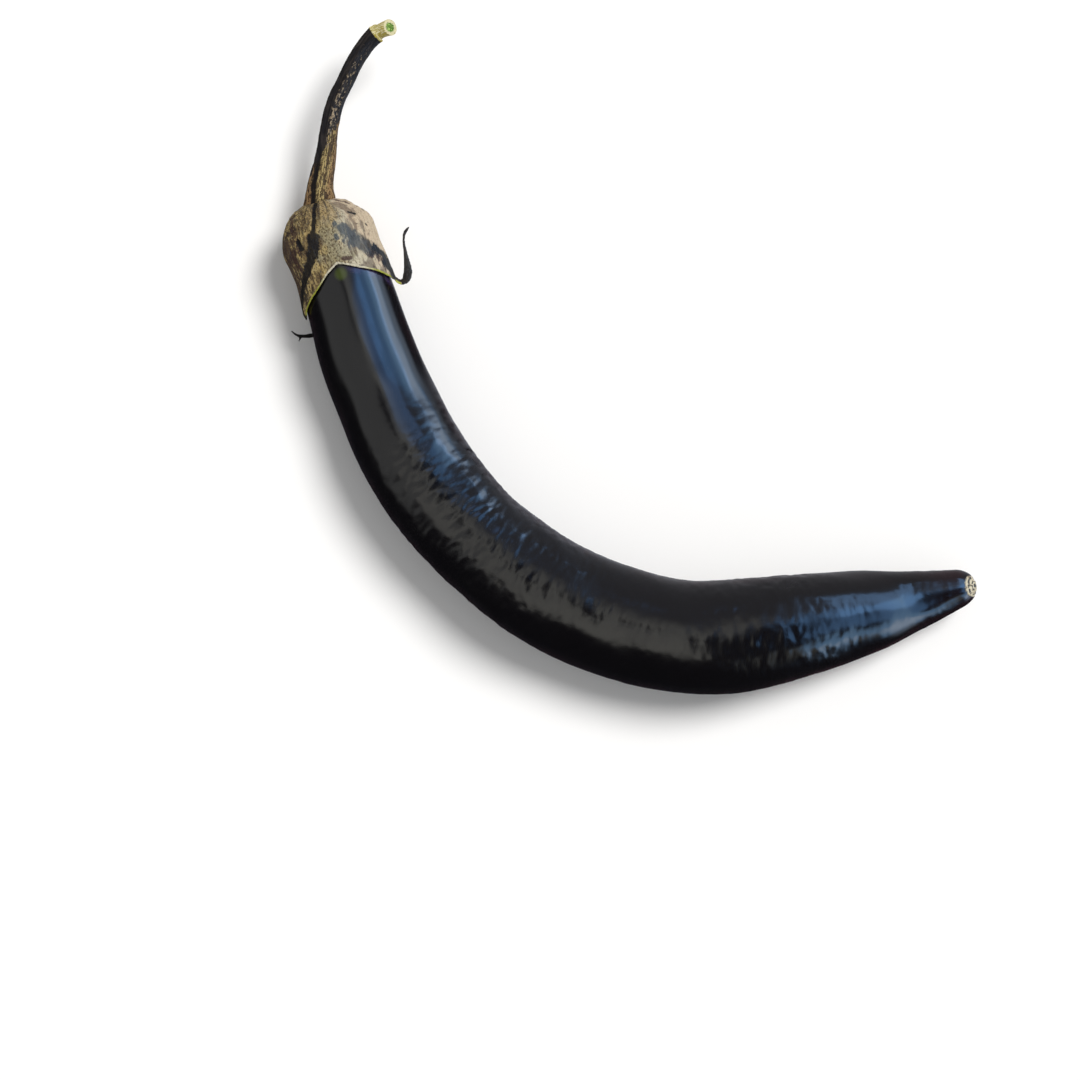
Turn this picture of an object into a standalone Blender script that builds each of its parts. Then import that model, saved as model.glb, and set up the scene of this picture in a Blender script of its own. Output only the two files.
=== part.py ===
"""A long, curved eggplant lying on its side: the fruit, the calyx that caps its neck, and the stem.

The table is z = 0, +Z is up, and seen from above the stem points up the sheet and the blossom end
points right. Sizes below are millimetres and every mesh is built in metres.
"""

import math

import bmesh
import bpy
import numpy as np
from mathutils import Vector

MM = 0.001
UP = Vector((0.0, 0.0, 1.0))

# Clear space kept where two pieces grow together, and under what only nearly touches the table.
GAP = 0.35
TABLE_CLEARANCE = 0.1
SHARP_ANGLE = 40

# The fruit's axis, from the middle of the crown to the blossom end:
# x, y, height of the underside above the table, radius. It is pressed flat where the height is
# below zero: at the neck, at the belly and before the tip.
FRUIT_STATIONS = (
    (-102.6, 52.1, 5.4, 12.2),
    (-99.2, 39.4, 3.3, 13.8),
    (-95.0, 26.9, 2.2, 14.8),
    (-91.0, 14.3, 1.5, 15.4),
    (-87.6, 2.7, 0.5, 16.3),
    (-81.5, -12.2, -0.6, 16.9),
    (-74.7, -27.0, 0.5, 17.5),
    (-64.8, -43.2, 0.9, 17.8),
    (-50.5, -59.4, 0.9, 17.9),
    (-30.6, -75.0, 0.4, 18.7),
    (-7.2, -86.2, -0.6, 18.9),
    (16.1, -91.9, 0.5, 19.1),
    (33.3, -91.7, 0.8, 19.0),
    (51.0, -89.2, 0.5, 17.9),
    (69.6, -85.5, -0.6, 15.6),
    (82.0, -83.1, 0.7, 13.4),
    (91.1, -80.9, 2.3, 11.0),
    (103.1, -77.7, 5.4, 8.0),
    (108.2, -76.2, 7.2, 6.8),
    (114.9, -74.9, 9.6, 5.8),
)
FRUIT_TOP = 4.6
DOME_LENGTH = 12.0
TIP_LENGTH = 6.8
FRUIT_SIDES = 36
FRUIT_RING_PITCH = 5.4
DOME_RINGS = 7
TIP_RINGS = 8

# Broad, shallow unevenness of the skin: depth, waves along the fruit, waves round it, phase.
SKIN_WAVES = (
    (0.22, 5.0, 2, 0.4),
    (0.16, 9.0, 3, 2.1),
    (0.12, 14.0, 5, 4.0),
)
WAVE_START = 45.0
WAVE_FADE = 20.0

# Blossom scar: a shallow dish with a low ring in it, at the very end.
SCAR_RADIUS = 4.2
SCAR_DEPTH = 0.35
SCAR_POINTS = 5
SCAR_RAGGED = 0.2

# The calyx: how far down the axis, and how wide, on the open right, the left and in between.
CALYX_PROFILE = (
    (0.0, 5.4, 5.4),
    (1.6, 8.1, 9.4),
    (3.4, 10.4, 11.8),
    (5.6, 12.6, 13.6),
    (8.6, 15.0, 15.0),
    (11.5, 15.4, 16.4),
    (15.0, 15.5, 16.8),
    (20.0, 15.7, 16.0),
    (26.0, 16.3, 15.9),
    (32.0, 16.5, 16.6),
    (44.0, 17.2, 17.2),
)
CALYX_COLUMNS = 72
CALYX_SHOULDER_ROWS = 7
CALYX_LOBE_RINGS = 7
CALYX_WALL = 0.8
# A rib down each lobe: height, half width in degrees, where it is full and where it ends.
CALYX_RIB = 0.35
RIB_SPREAD = 9.0
RIB_START = 6.0
RIB_END = 30.0

# The rim: angle round the axis from the upper side, right positive, and its place along the axis.
RIM_OUTLINE = (
    (0, 23.4),
    (22, 26.4),
    (48, 29.4),
    (66, 31.6),
    (82, 32.8),
    (98, 30.5),
    (108, 28.5),
    (118, 31.5),
    (130, 40.0),
    (141, 31.5),
    (154, 28.5),
    (168, 32.0),
    (180, 39.0),
    (192, 32.0),
    (206, 28.0),
    (218, 32.5),
    (232, 41.5),
    (243, 34.0),
    (254, 31.5),
    (266, 34.0),
    (279, 37.6),
    (292, 34.6),
    (303, 33.0),
    (326, 29.4),
    (345, 25.6),
)
LOBE_ANGLES = (82, 130, 180, 232, 279)

# Lobe tips that stand off the fruit, each a flat strip: place along the axis, angle round it,
# distance out from it, half width, half thickness, and how far it has turned from lying flat.
RIGHT_CURL = (
    (28.5, 80, 16.2, 2.6, 0.40, 0),
    (31.8, 80, 16.5, 2.4, 0.42, 5),
    (34.0, 80, 17.8, 2.2, 0.50, 25),
    (33.9, 80, 19.6, 2.0, 0.60, 50),
    (31.6, 80, 21.2, 1.8, 0.60, 70),
    (28.4, 80, 21.9, 1.2, 0.55, 80),
    (24.8, 80, 22.5, 0.7, 0.45, 80),
    (21.5, 80, 23.2, 0.55, 0.40, 80),
    (19.4, 80, 24.6, 0.75, 0.40, 80),
    (18.2, 80, 26.4, 0.40, 0.35, 80),
)
LEFT_TIP = (
    (36.5, 232, 16.3, 2.0, 0.40, 0),
    (39.5, 233, 16.6, 1.7, 0.40, 0),
    (41.4, 236, 17.5, 1.3, 0.45, 10),
    (41.3, 242, 19.4, 0.9, 0.50, 35),
    (40.6, 248, 21.3, 0.65, 0.50, 60),
    (39.4, 252, 22.4, 0.5, 0.45, 72),
    (37.6, 255, 23.0, 0.35, 0.35, 75),
)
LEFT_FORK = (
    (40.5, 248, 21.2, 0.50, 0.45, 68),
    (41.5, 249, 21.6, 0.42, 0.40, 69),
    (42.6, 250, 22.3, 0.32, 0.32, 70),
)
CURL_SIDES = 8
CURL_RING_PITCH = 1.1

# The stem's middle line from the calyx to the cut: x, y, z, radius.
STEM_STATIONS = (
    (-102.6, 52.1, 17.6, 5.0),
    (-102.5, 57.0, 17.9, 4.5),
    (-101.2, 63.6, 18.4, 3.9),
    (-100.1, 70.3, 19.2, 3.4),
    (-99.2, 76.9, 20.1, 3.15),
    (-97.4, 83.8, 21.2, 3.05),
    (-94.4, 89.8, 22.2, 3.05),
    (-91.1, 96.4, 23.3, 3.0),
    (-86.8, 102.8, 24.5, 3.0),
    (-83.6, 105.8, 25.5, 3.35),
)
STEM_SIDES = 20
STEM_RING_PITCH = 2.4
STEM_RIBS = 5
STEM_RIB_DEPTH = 0.07
STEM_RIB_TWIST = 0.02
# The bare core past the end of the skin: x, y, z, radius.
CORE_STATIONS = (
    (-83.3, 106.0, 25.6, 2.35),
    (-81.6, 106.8, 26.3, 2.45),
    (-79.6, 107.4, 27.2, 2.6),
    (-78.2, 107.7, 27.9, 2.75),
)
# The torn skin: how far its edge wanders, and the one flap that hangs on.
SKIN_TEAR = 0.6
TEAR_POINTS = 7
FLAP_LENGTH = 2.6
FLAP_ANGLE = 130
FLAP_SPREAD = 22
CORE_RINGS = 4

SKIN_COLOUR = (0.012, 0.009, 0.018, 1.0)
CALYX_COLOUR = (0.34, 0.25, 0.13, 1.0)
STEM_COLOUR = (0.16, 0.11, 0.06, 1.0)


def material(name, colour, roughness):
    """A Principled BSDF with one colour and roughness."""
    made = bpy.data.materials.new(name)
    made.use_nodes = True
    shader = made.node_tree.nodes["Principled BSDF"]
    shader.inputs["Base Color"].default_value = colour
    shader.inputs["Roughness"].default_value = roughness
    shader.inputs["Metallic"].default_value = 0.0
    made.diffuse_color = colour
    return made


def spread(start, end, count):
    """Evenly spaced plain numbers from start to end, both included."""
    return [start + (end - start) * i / (count - 1) for i in range(count)]


def turn(sides):
    """The angles of one turn, split evenly."""
    return [2 * math.pi * i / sides for i in range(sides)]


def smooth_rows(stations, steps=24):
    """Catmull-Rom rows through the stations, each with its distance along x, y and z first."""
    points = np.array(stations, float)
    ends = (2 * points[0] - points[1], 2 * points[-1] - points[-2])
    padded = np.vstack([ends[0], points, ends[1]])
    rows = []
    for before, start, end, after in zip(padded, padded[1:], padded[2:], padded[3:]):
        for t in np.arange(steps) / steps:
            rows.append(
                0.5
                * (
                    2 * start
                    + (end - before) * t
                    + (2 * before - 5 * start + 4 * end - after) * t**2
                    + (3 * start - before - 3 * end + after) * t**3
                )
            )
    rows.append(points[-1])
    rows = np.array(rows)
    steps_taken = np.linalg.norm(np.diff(rows[:, :3], axis=0), axis=1)
    return np.column_stack([np.concatenate([[0.0], np.cumsum(steps_taken)]), rows])


class Axis:
    """A smooth bent axis that carries a radius and a frame at every distance along it."""

    def __init__(self, stations):
        self.rows = smooth_rows(stations)
        self.length = float(self.rows[-1, 0])

    def at(self, distance, column):
        """The value of one column, running straight on past either end."""
        return float(np.interp(distance, self.rows[:, 0], self.rows[:, column]))

    def middle(self, distance):
        return Vector([self.at(distance, column) for column in (1, 2, 3)])

    def frame(self, distance):
        """Middle point, direction, and the two directions across it: rightwards and upwards."""
        step = 0.6
        ahead = min(distance + step, self.length)
        behind = max(distance - step, 0.0)
        direction = (self.middle(ahead) - self.middle(behind)).normalized()
        side = UP.cross(direction).normalized()
        return self.middle(distance), direction, side, direction.cross(side)


def fruit_axis():
    """The fruit's axis, with each height worked out from the underside and the radius."""
    return Axis([(x, y, base + radius, radius) for x, y, base, radius in FRUIT_STATIONS])


FRUIT = fruit_axis()
FRUIT_END = FRUIT.length


def fruit_radius(distance):
    """Radius of the berry, rounded off to nothing at the crown and at the blossom end."""
    radius = FRUIT.at(distance, 4)
    crown = (FRUIT_TOP + DOME_LENGTH - distance) / DOME_LENGTH
    tip = (distance - FRUIT_END + TIP_LENGTH) / TIP_LENGTH
    for reach in (crown, tip):
        if reach > 0:
            radius *= math.sqrt(max(0.0, 1.0 - reach**2))
    return radius


def skin_wave(distance, angle):
    """Broad unevenness, which fades out on the underside and at both ends."""
    along = distance / FRUIT_END
    wave = sum(
        depth * math.sin(2 * math.pi * waves * along + around * angle + phase)
        for depth, waves, around, phase in SKIN_WAVES
    )
    upper_side = 0.5 + 0.5 * math.cos(angle)
    from_calyx = min(1.0, max(0.0, (distance - WAVE_START) / WAVE_FADE))
    from_tip = min(1.0, (FRUIT_END - distance) / WAVE_FADE)
    return wave * upper_side * from_calyx * from_tip


def fruit_point(distance, angle, outwards=0.0):
    """A point of the skin, or one that stands outwards from it along the surface's normal."""
    middle, direction, side, upward = FRUIT.frame(distance)
    radius = fruit_radius(distance)
    across = math.sin(angle) * side + math.cos(angle) * upward
    if outwards == 0.0:
        return middle + (radius + skin_wave(distance, angle)) * across
    behind = max(distance - 0.05, FRUIT_TOP)
    ahead = distance + 0.05
    growth = (fruit_radius(ahead) - fruit_radius(behind)) / (ahead - behind)
    normal = (across - growth * direction).normalized()
    return middle + radius * across + outwards * normal


def mesh_object(name, bm, finish):
    """Makes an object from a mesh whose points are in millimetres, with its faces turned outwards."""
    bmesh.ops.scale(bm, vec=(MM, MM, MM), verts=bm.verts)
    bmesh.ops.recalc_face_normals(bm, faces=bm.faces)
    mesh = bpy.data.meshes.new(name)
    bm.to_mesh(mesh)
    bm.free()
    mesh.materials.append(finish)
    mesh.shade_smooth()
    mesh.set_sharp_from_angle(angle=math.radians(SHARP_ANGLE))
    made = bpy.data.objects.new(name, mesh)
    bpy.context.collection.objects.link(made)
    return made


def bridge(bm, one, other):
    """Quads between two closed rings of the same number of points."""
    for i in range(len(one)):
        j = (i + 1) % len(one)
        bm.faces.new((one[i], one[j], other[j], other[i]))


def fan(bm, ring, centre):
    """Closes a ring with triangles that meet in one point."""
    pole = bm.verts.new(centre)
    for i in range(len(ring)):
        bm.faces.new((ring[i], ring[(i + 1) % len(ring)], pole))


def loft(rings, first_pole, last_pole):
    """A closed skin over rings of points, with a point to close each end."""
    bm = bmesh.new()
    loops = [[bm.verts.new(point) for point in ring] for ring in rings]
    for one, other in zip(loops, loops[1:]):
        bridge(bm, one, other)
    fan(bm, loops[0], first_pole)
    fan(bm, loops[-1], last_pole)
    return bm


def rounded_steps(start, end, count):
    """Distances from the pole at start, close together there, to end."""
    return [start + (end - start) * (1 - math.cos(0.5 * math.pi * i / count)) for i in range(1, count)]


def scar_dish(distance, angle):
    """How deep the blossom scar sinks into the end, along the axis."""
    across = fruit_radius(distance) / SCAR_RADIUS
    if across >= 1.0:
        return 0.0
    ring = 0.5 + 0.5 * math.cos(2 * math.pi * across)
    ragged = 1.0 + SCAR_RAGGED * math.sin(SCAR_POINTS * angle)
    return SCAR_DEPTH * (1 - across**2) * (1 - 0.5 * ring) * ragged


def make_fruit(finish):
    """The berry: rings along the axis, pressed flat where it touches the table."""
    crown_end = FRUIT_TOP + DOME_LENGTH
    tip_start = FRUIT_END - TIP_LENGTH
    body_rings = round((tip_start - crown_end) / FRUIT_RING_PITCH)
    distances = rounded_steps(FRUIT_TOP, crown_end, DOME_RINGS)
    distances += spread(crown_end, tip_start, body_rings + 1)
    distances += rounded_steps(FRUIT_END, tip_start, TIP_RINGS)[::-1]
    angles = turn(FRUIT_SIDES)
    rings = []
    for distance in distances:
        direction = FRUIT.frame(distance)[1]
        near_tip = distance > tip_start
        ring = []
        for angle in angles:
            sunk = scar_dish(distance, angle) if near_tip else 0.0
            point = fruit_point(distance, angle) - sunk * direction
            point.z = max(point.z, 0.0)
            ring.append(point)
        rings.append(ring)
    end, direction, _, _ = FRUIT.frame(FRUIT_END)
    bm = loft(rings, FRUIT.middle(FRUIT_TOP), end - 0.5 * SCAR_DEPTH * direction)
    return mesh_object("fruit", bm, finish)


def around(table, angle):
    """A value read from pairs of degrees and value that go once round."""
    degrees = [row[0] for row in table] + [360]
    values = [row[1] for row in table] + [table[0][1]]
    return float(np.interp(math.degrees(angle) % 360, degrees, values))


def calyx_radius(distance, angle):
    """Outer radius of the calyx, never closer to the fruit than the wall allows."""
    places, right, left = zip(*CALYX_PROFILE)
    leftward = 0.5 - 0.5 * math.sin(angle)
    radius = float(np.interp(distance, places, right)) * (1 - leftward)
    radius += float(np.interp(distance, places, left)) * leftward
    for lobe in LOBE_ANGLES:
        off = (math.degrees(angle) - lobe + 180) % 360 - 180
        ridge = math.exp(-((off / RIB_SPREAD) ** 2)) * min(1.0, distance / RIB_START)
        radius += CALYX_RIB * ridge * max(0.0, 1 - distance / RIB_END)
    return max(radius, fruit_radius(distance) + GAP + CALYX_WALL)


def calyx_outer(distance, angle):
    """A point of the calyx's outside, kept off the table."""
    middle, _, side, upward = FRUIT.frame(distance)
    radius = calyx_radius(distance, angle)
    point = middle + radius * (math.sin(angle) * side + math.cos(angle) * upward)
    point.z = max(point.z, TABLE_CLEARANCE)
    return point


def make_calyx(finish):
    """The cap: an outside and an inside that follow the fruit, joined along the lobed rim."""
    shoulder = [row[0] for row in CALYX_PROFILE[:CALYX_SHOULDER_ROWS]]
    crown_end = FRUIT_TOP + DOME_LENGTH
    dome = rounded_steps(FRUIT_TOP, crown_end, DOME_RINGS)
    angles = turn(CALYX_COLUMNS)
    rims = [around(RIM_OUTLINE, angle) for angle in angles]
    rings = [[calyx_outer(place, angle) for angle in angles] for place in shoulder]
    for part in spread(0, 1, CALYX_LOBE_RINGS + 1)[1:]:
        rings.append(
            [
                calyx_outer(shoulder[-1] + (rim - shoulder[-1]) * part, angle)
                for angle, rim in zip(angles, rims)
            ]
        )
    for part in spread(1, 0, CALYX_LOBE_RINGS + 1):
        rings.append(
            [
                fruit_point(crown_end + (rim - crown_end) * part, angle, GAP)
                for angle, rim in zip(angles, rims)
            ]
        )
    for place in dome[::-1]:
        rings.append([fruit_point(place, angle, GAP) for angle in angles])
    top, direction, _, _ = FRUIT.frame(0.0)
    inner_pole = FRUIT.middle(FRUIT_TOP) - GAP * direction
    cap = mesh_object("calyx", loft(rings, top, inner_pole), finish)
    tips = [
        make_strip("right_curl", RIGHT_CURL, finish),
        make_strip("left_tip", LEFT_TIP, finish),
        make_strip("left_fork", LEFT_FORK, finish),
    ]
    join(cap, tips)
    return cap


def make_strip(name, stations, finish):
    """A tapering lobe tip: flat ellipses along a bent line, as wide as the stations say."""
    rows = []
    for place, degrees, out, wide, thick, turned in stations:
        middle, _, side, upward = FRUIT.frame(place)
        angle = math.radians(degrees)
        point = middle + out * (math.sin(angle) * side + math.cos(angle) * upward)
        rows.append((*point, wide, thick, math.radians(turned - degrees)))
    axis = Axis(rows)
    rings = []
    for distance in spread(0.0, axis.length, max(4, round(axis.length / CURL_RING_PITCH))):
        middle, _, side, upward = axis.frame(distance)
        twist = axis.at(distance, 6)
        flat = math.cos(twist) * side + math.sin(twist) * upward
        edge = math.cos(twist) * upward - math.sin(twist) * side
        wide = axis.at(distance, 4)
        thick = axis.at(distance, 5)
        ring = []
        for angle in turn(CURL_SIDES):
            ring.append(middle + wide * math.cos(angle) * flat + thick * math.sin(angle) * edge)
        rings.append(ring)
    bm = loft(rings, axis.middle(0.0), axis.middle(axis.length))
    return mesh_object(name, bm, finish)


def join(body, parts):
    """Fuses the parts into the body with one Boolean union and removes them."""
    group = bpy.data.collections.new(body.name + "_tips")
    bpy.context.scene.collection.children.link(group)
    for part in parts:
        bpy.context.collection.objects.unlink(part)
        group.objects.link(part)
    union = body.modifiers.new("union", "BOOLEAN")
    union.operation = "UNION"
    union.operand_type = "COLLECTION"
    union.collection = group
    graph = bpy.context.evaluated_depsgraph_get()
    fused = bpy.data.meshes.new_from_object(body.evaluated_get(graph))
    body.modifiers.clear()
    body.data = fused
    for part in parts:
        bpy.data.objects.remove(part)
    bpy.data.collections.remove(group)


def make_stem(finish):
    """The stalk: ribbed rings up to the torn edge of the skin, then the bare core and its cut."""
    skin = Axis(STEM_STATIONS)
    core = Axis(CORE_STATIONS)
    calyx_top, calyx_direction, _, _ = FRUIT.frame(0.0)
    angles = turn(STEM_SIDES)
    ring_count = round(skin.length / STEM_RING_PITCH)
    rings = []
    for number, distance in enumerate(spread(0.0, skin.length, ring_count + 1)):
        middle, direction, side, upward = skin.frame(distance)
        if number == 0:
            direction = -calyx_direction
            middle = calyx_top + GAP * direction
            side = UP.cross(direction).normalized()
            upward = direction.cross(side)
        last = number == ring_count
        ring = []
        for angle in angles:
            rib = 1 + STEM_RIB_DEPTH * math.cos(STEM_RIBS * angle + STEM_RIB_TWIST * distance)
            across = math.sin(angle) * side + math.cos(angle) * upward
            point = middle + skin.at(distance, 4) * rib * across
            if last:
                flap = math.exp(-(((math.degrees(angle) - FLAP_ANGLE) / FLAP_SPREAD) ** 2))
                tear = SKIN_TEAR * math.sin(TEAR_POINTS * angle) + FLAP_LENGTH * flap
                point += tear * direction
            ring.append(point)
        rings.append(ring)
    for distance in spread(0.0, core.length, CORE_RINGS):
        middle, _, side, upward = core.frame(distance)
        radius = core.at(distance, 4)
        rings.append(
            [middle + radius * (math.sin(a) * side + math.cos(a) * upward) for a in angles]
        )
    foot = calyx_top - GAP * calyx_direction
    return mesh_object("stem", loft(rings, foot, core.middle(core.length)), finish)


def centre_in_plan(objects):
    """Slides everything so that the middle of the whole, seen from above, is the origin."""
    corners = np.array([vertex.co[:] for made in objects for vertex in made.data.vertices])
    middle = (corners.min(axis=0) + corners.max(axis=0)) / 2
    for made in objects:
        for vertex in made.data.vertices:
            vertex.co.x -= middle[0]
            vertex.co.y -= middle[1]


def main():
    for thing in list(bpy.data.objects):
        bpy.data.objects.remove(thing, do_unlink=True)
    made = [
        make_fruit(material("eggplant_skin", SKIN_COLOUR, 0.22)),
        make_calyx(material("dried_calyx", CALYX_COLOUR, 0.75)),
        make_stem(material("stem_skin", STEM_COLOUR, 0.7)),
    ]
    centre_in_plan(made)


main()
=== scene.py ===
"""The looks of a long, curved eggplant that lies on its side.

Three pieces are dressed: the fruit with its glossy, finely wrinkled skin, the dried calyx that
clasps its neck, and the ribbed stem with its torn skin and pale cut. Each one is a merged copy of
its CAD node that is refined in edit mode and carved by modifiers, so it stays inside its solid.
Sizes in the classes are millimetres, and meshes are in metres.
"""

import logging
import math
from collections.abc import Mapping, Sequence
from dataclasses import dataclass
from enum import Enum
from typing import Any

import bmesh
import bpy
import numpy as np
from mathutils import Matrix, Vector, noise


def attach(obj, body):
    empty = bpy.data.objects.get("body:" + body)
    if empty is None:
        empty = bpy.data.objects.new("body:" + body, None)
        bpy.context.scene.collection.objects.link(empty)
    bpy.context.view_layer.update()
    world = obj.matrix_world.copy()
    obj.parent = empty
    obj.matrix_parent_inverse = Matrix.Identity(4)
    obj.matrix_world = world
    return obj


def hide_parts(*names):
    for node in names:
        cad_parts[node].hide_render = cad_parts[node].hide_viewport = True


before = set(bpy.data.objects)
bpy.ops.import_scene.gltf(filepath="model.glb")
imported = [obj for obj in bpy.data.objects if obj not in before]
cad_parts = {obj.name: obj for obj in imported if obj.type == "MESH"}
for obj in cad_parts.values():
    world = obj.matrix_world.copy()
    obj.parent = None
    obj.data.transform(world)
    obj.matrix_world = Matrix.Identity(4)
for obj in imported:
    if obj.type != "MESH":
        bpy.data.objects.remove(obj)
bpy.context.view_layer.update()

log = logging.getLogger("eggplant")

Span = tuple[float, float]
Triple = tuple[float, float, float]
Colour = Triple
Station = tuple[float, float, float, float]

MM = 0.001
UP = np.array([0.0, 0.0, 1.0])

# Vertices of the solids closer than this are one, in millimetres.
MERGE_WITHIN = 0.002

# Where the middle of the whole lies, seen from above, in the sheet that the stations are given in.
SHEET_TO_FRAME = (0.333, 0.509)

# The fruit's axis from the crown to the blossom end: x, y, height of the underside, radius.
FRUIT_STATIONS: tuple[Station, ...] = (
    (-102.6, 52.1, 5.4, 12.2),
    (-99.2, 39.4, 3.3, 13.8),
    (-95.0, 26.9, 2.2, 14.8),
    (-91.0, 14.3, 1.5, 15.4),
    (-87.6, 2.7, 0.5, 16.3),
    (-81.5, -12.2, -0.6, 16.9),
    (-74.7, -27.0, 0.5, 17.5),
    (-64.8, -43.2, 0.9, 17.8),
    (-50.5, -59.4, 0.9, 17.9),
    (-30.6, -75.0, 0.4, 18.7),
    (-7.2, -86.2, -0.6, 18.9),
    (16.1, -91.9, 0.5, 19.1),
    (33.3, -91.7, 0.8, 19.0),
    (51.0, -89.2, 0.5, 17.9),
    (69.6, -85.5, -0.6, 15.6),
    (82.0, -83.1, 0.7, 13.4),
    (91.1, -80.9, 2.3, 11.0),
    (103.1, -77.7, 5.4, 8.0),
    (108.2, -76.2, 7.2, 6.8),
    (114.9, -74.9, 9.6, 5.8),
)

# The stem's axis from the calyx to the end of its skin, then along the bare core: x, y, z, radius.
STEM_STATIONS: tuple[Station, ...] = (
    (-102.6, 52.1, 17.6, 5.0),
    (-102.5, 57.0, 17.9, 4.5),
    (-101.2, 63.6, 18.4, 3.9),
    (-100.1, 70.3, 19.2, 3.4),
    (-99.2, 76.9, 20.1, 3.15),
    (-97.4, 83.8, 21.2, 3.05),
    (-94.4, 89.8, 22.2, 3.05),
    (-91.1, 96.4, 23.3, 3.0),
    (-86.8, 102.8, 24.5, 3.0),
    (-83.6, 105.8, 25.5, 3.35),
    (-81.6, 106.8, 26.3, 2.45),
    (-79.6, 107.4, 27.2, 2.6),
    (-78.2, 107.7, 27.9, 2.75),
)

# The calyx's rim: degrees round the fruit from its upper side, and distance along the axis.
RIM_OUTLINE: tuple[Span, ...] = (
    (0, 23.4),
    (22, 26.4),
    (48, 29.4),
    (66, 31.6),
    (82, 32.8),
    (98, 30.5),
    (108, 28.5),
    (118, 31.5),
    (130, 40.0),
    (141, 31.5),
    (154, 28.5),
    (168, 32.0),
    (180, 39.0),
    (192, 32.0),
    (206, 28.0),
    (218, 32.5),
    (232, 41.5),
    (243, 34.0),
    (254, 31.5),
    (266, 34.0),
    (279, 37.6),
    (292, 34.6),
    (303, 33.0),
    (326, 29.4),
    (345, 25.6),
)


class Layer(Enum):
    """What a mesh attribute tells its material."""

    PLACE = "place"
    PAST_RIM = "past_rim"
    WRINKLED = "wrinkled"
    INK = "ink"
    SLATE = "slate"
    # Brown stains, and painted shade on the calyx's left flank and underside.
    BROWN = "brown"
    # How deep the relief is, which the materials turn into painted shade in the hollows.
    GROOVE = "groove"
    CUT = "cut"


def shade(red: int, green: int, blue: int) -> Colour:
    """A linear colour from its three screen values.

    Args:
        red: Screen value from 0 to 255.
        green: Screen value from 0 to 255.
        blue: Screen value from 0 to 255.

    Returns:
        The colour as the shaders take it.
    """
    values = (part / 255 for part in (red, green, blue))
    return tuple(v / 12.92 if v <= 0.04045 else ((v + 0.055) / 1.055) ** 2.4 for v in values)


def ease(values: np.ndarray, start: float, end: float) -> np.ndarray:
    """Goes smoothly from 0 at start to 1 at end, which may be the lower of the two.

    Args:
        values: The numbers to read.
        start: Where the result is 0.
        end: Where the result is 1.

    Returns:
        One number from 0 to 1 for each value.
    """
    part = np.clip((values - start) / (end - start), 0.0, 1.0)
    return part * part * (3 - 2 * part)


def ripple(places: np.ndarray, pitch: Sequence[float], seed: float) -> np.ndarray:
    """Smooth noise at each place.

    Args:
        places: One row of three millimetre values for each vertex.
        pitch: How far the noise takes to change, along each of the three.
        seed: Shifts the noise, so that two layers differ.

    Returns:
        Numbers mostly between -0.6 and 0.6.
    """
    scaled = places / np.array(pitch) + seed
    return np.array([noise.noise(Vector(row)) for row in scaled.tolist()])


class Route:
    """A smooth bent line, which says how far along it and how far round it a point lies."""

    def __init__(self, stations: Sequence[Station], steps: int = 24) -> None:
        """Runs a Catmull-Rom curve through the stations.

        Args:
            stations: x, y, z and radius at each one, in millimetres.
            steps: Rows worked out between one station and the next.
        """
        points = np.array(stations, float)
        points[:, :2] += SHEET_TO_FRAME
        ends = (2 * points[0] - points[1], 2 * points[-1] - points[-2])
        padded = np.vstack([ends[0], points, ends[1]])
        rows = []
        for before, start, end, after in zip(padded, padded[1:], padded[2:], padded[3:]):
            for t in np.arange(steps) / steps:
                bend = 2 * before - 5 * start + 4 * end - after
                turn = 3 * start - before - 3 * end + after
                rows.append(0.5 * (2 * start + (end - before) * t + bend * t**2 + turn * t**3))
        rows.append(points[-1])
        self.middles = np.array(rows)[:, :3]
        self.radii = np.array(rows)[:, 3]
        gaps = np.linalg.norm(np.diff(self.middles, axis=0), axis=1)
        self.travel = np.concatenate([[0.0], np.cumsum(gaps)])
        ahead = np.gradient(self.middles, axis=0)
        self.ahead = ahead / np.linalg.norm(ahead, axis=1)[:, None]
        across = np.cross(UP, self.ahead)
        self.across = across / np.linalg.norm(across, axis=1)[:, None]
        self.upward = np.cross(self.ahead, self.across)

    @property
    def length(self) -> float:
        """The route's whole length in millimetres."""
        return float(self.travel[-1])

    def locate(self, points: np.ndarray) -> tuple[np.ndarray, np.ndarray, np.ndarray]:
        """Reads each point's place on the route.

        Args:
            points: x, y and z of each point, in millimetres.

        Returns:
            Distance along the route, degrees round it from its upper side, and distance out.
        """
        nearest = np.concatenate(
            [
                np.argmin(((part[:, None] - self.middles) ** 2).sum(axis=2), axis=1)
                for part in np.array_split(points, max(1, len(points) // 4096))
            ]
        )
        away = points - self.middles[nearest]
        along = self.travel[nearest] + (away * self.ahead[nearest]).sum(axis=1)
        sideways = (away * self.across[nearest]).sum(axis=1)
        upwards = (away * self.upward[nearest]).sum(axis=1)
        return along, np.degrees(np.arctan2(sideways, upwards)), np.hypot(sideways, upwards)


def rim_at(degrees: np.ndarray) -> np.ndarray:
    """How far along the axis the calyx reaches at each angle round it.

    Args:
        degrees: Angles from the upper side.

    Returns:
        Distances in millimetres.
    """
    angles = [row[0] for row in RIM_OUTLINE] + [360]
    places = [row[1] for row in RIM_OUTLINE] + [RIM_OUTLINE[0][1]]
    return np.interp(degrees % 360, angles, places)


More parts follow.
